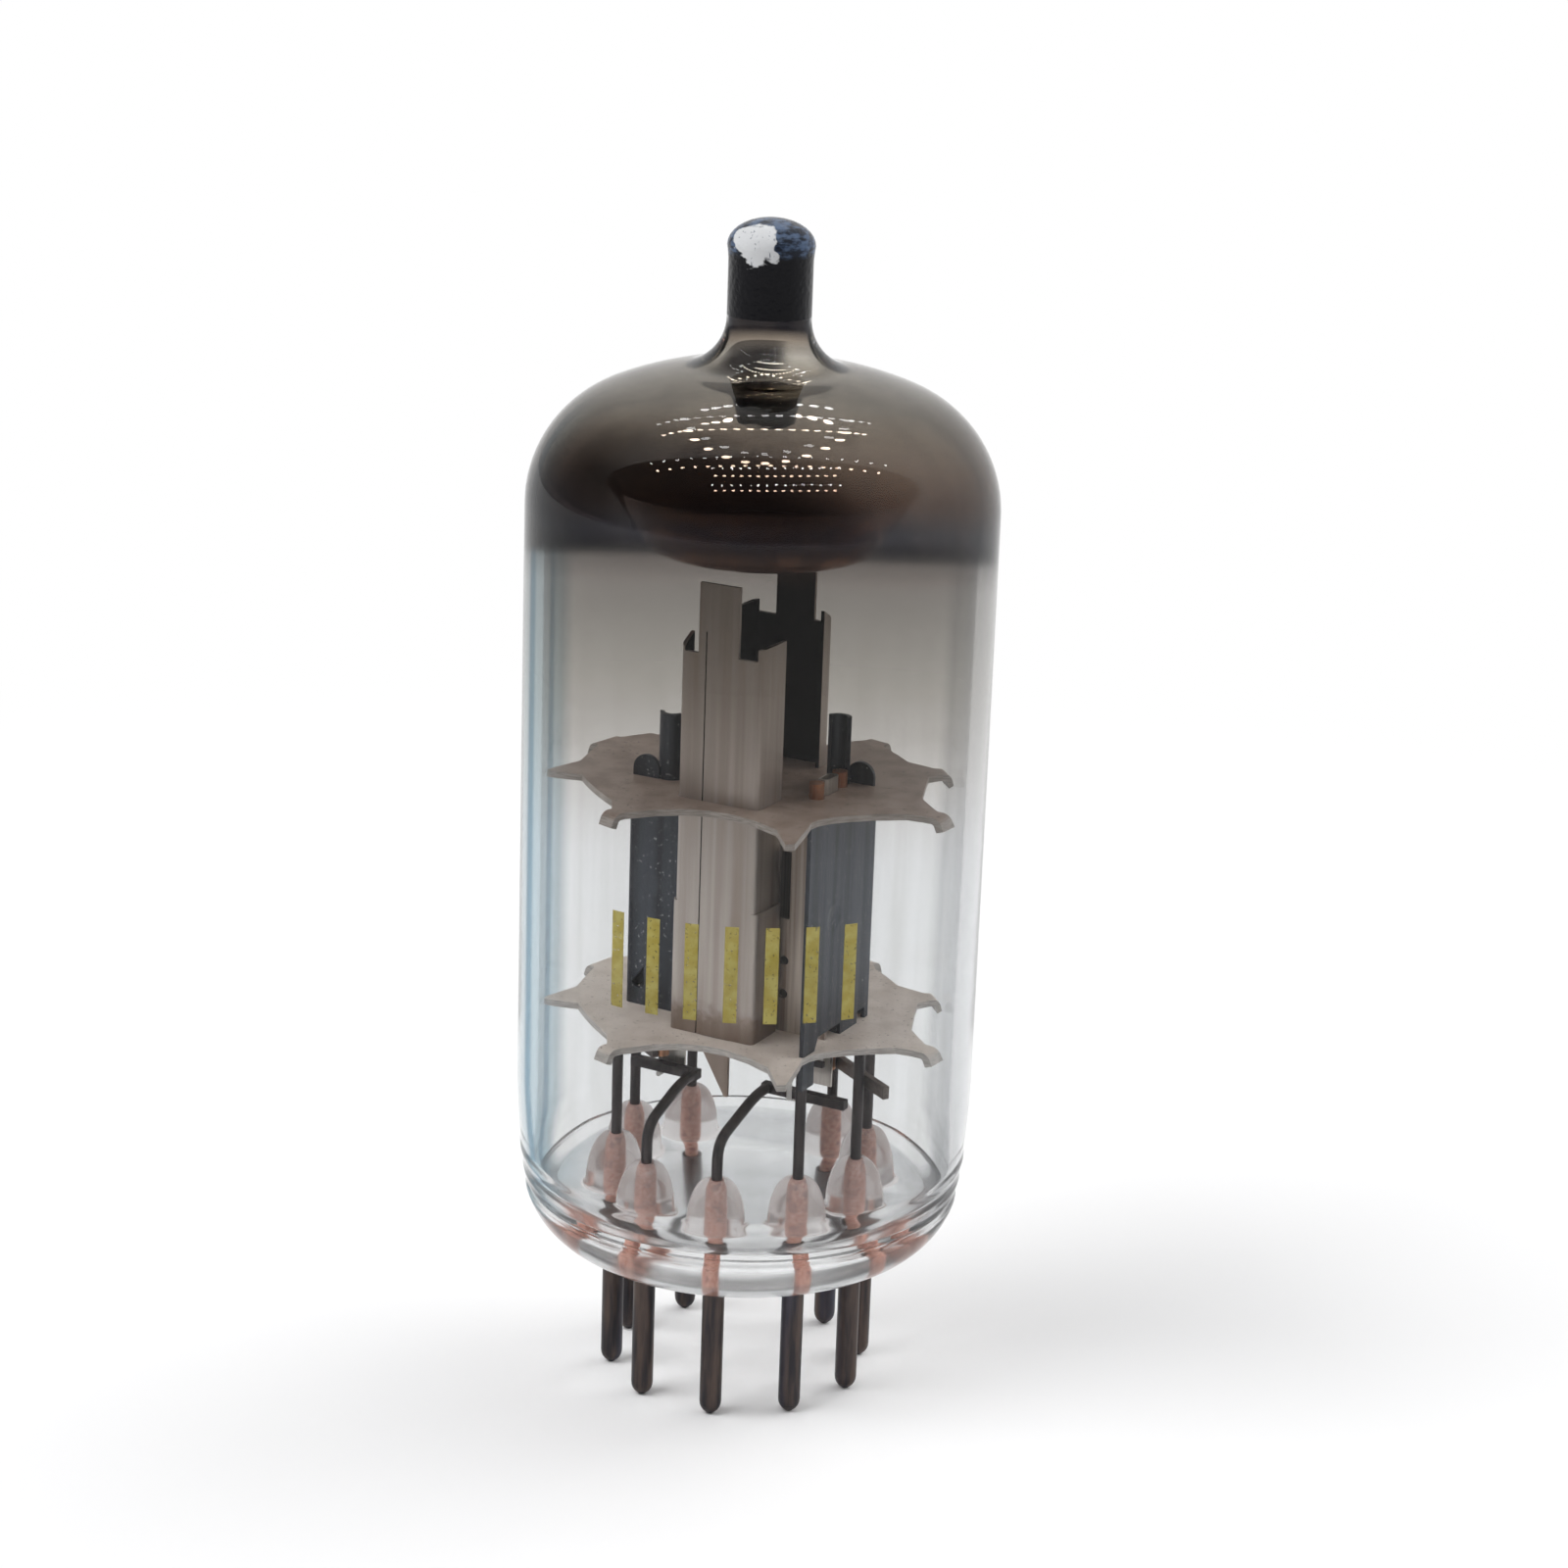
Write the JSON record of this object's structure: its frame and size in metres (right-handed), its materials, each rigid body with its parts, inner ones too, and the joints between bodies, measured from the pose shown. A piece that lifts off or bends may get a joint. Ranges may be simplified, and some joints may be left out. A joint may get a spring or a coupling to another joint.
{
  "type": "twin triode tube",
  "caption": "Miniature glass twin triode vacuum tube: slender bulb with exhaust tip, pressed glass base with a ring of straight pins, and two electrode systems between mica spacers.",
  "frame": {"origin": "centre of the pin circle, at the plane of the pin tips on which the tube stands", "axes": "+Z along the tube's axis from the pins to the exhaust tip, +X towards the pin midway along the right side, and +Y towards the wide gap in the ring of pins"},
  "size_m": [0.0212, 0.0212, 0.0544],
  "materials": {
    "bulb_glass": "clear polished glass",
    "stem_glass": "clear pressed glass, matt at the beads",
    "pin_metal": "oxidised nickel",
    "copper_seal": "red-copper, grainy through the glass",
    "lead_wire": "oxidised nickel wire",
    "mica": "pale tan-grey mica sheet",
    "anode_sheet": "carbonised blue-grey sheet",
    "anode_plate_sheet": "plain nickel sheet with a brown tinge",
    "screen_sheet": "satin nickel sheet",
    "cathode_nickel": "bright nickel",
    "heater_coating": "white insulating coating",
    "grid_post_copper": "copper post",
    "grid_wire": "fine wire",
    "strap_metal": "nickel strap",
    "getter_steel": "heat-browned steel dish",
    "getter_channel": "nickel-plated channel",
    "mirror_film": "evaporated metal film on the glass"
  },
  "bodies": {
    "root": {"bulb": "bulb_glass", "stem_glass": "stem_glass", "pin_1": "pin_metal", "pin_2": "pin_metal", "pin_3": "pin_metal", "pin_4": "pin_metal", "pin_5": "pin_metal", "pin_6": "pin_metal", "pin_7": "pin_metal", "pin_8": "pin_metal", "pin_9": "pin_metal", "seal_wire_1": "copper_seal", "seal_wire_2": "copper_seal", "seal_wire_3": "copper_seal", "seal_wire_4": "copper_seal", "seal_wire_5": "copper_seal", "seal_wire_6": "copper_seal", "seal_wire_7": "copper_seal", "seal_wire_8": "copper_seal", "seal_wire_9": "copper_seal", "inner_lead_1": "lead_wire", "inner_lead_2": "lead_wire", "inner_lead_3": "lead_wire", "inner_lead_4": "lead_wire", "inner_lead_5": "lead_wire", "inner_lead_6": "lead_wire", "inner_lead_7": "lead_wire", "inner_lead_8": "lead_wire", "inner_lead_9": "lead_wire", "heater_bar_left": "lead_wire", "heater_bar_right": "lead_wire", "heater_link": "lead_wire", "lower_mica": "mica", "upper_mica": "mica", "anode_a": "anode_sheet", "anode_b": "anode_sheet", "anode_plate_a": "anode_plate_sheet", "anode_plate_b": "anode_plate_sheet", "screen_front": "screen_sheet", "screen_rear": "screen_sheet", "cathode_a": "cathode_nickel", "cathode_b": "cathode_nickel", "cathode_ribbon_a": "cathode_nickel", "cathode_ribbon_b": "cathode_nickel", "heater_a": "heater_coating", "heater_b": "heater_coating", "grid_post_a_front": "grid_post_copper", "grid_post_a_rear": "grid_post_copper", "grid_post_b_front": "grid_post_copper", "grid_post_b_rear": "grid_post_copper", "grid_winding_a": "grid_wire", "grid_winding_b": "grid_wire", "grid_strap_a": "strap_metal", "grid_strap_b": "strap_metal", "getter_dish": "getter_steel", "getter_ring": "getter_channel", "getter_film": "mirror_film"}
  },
  "joints": []
}
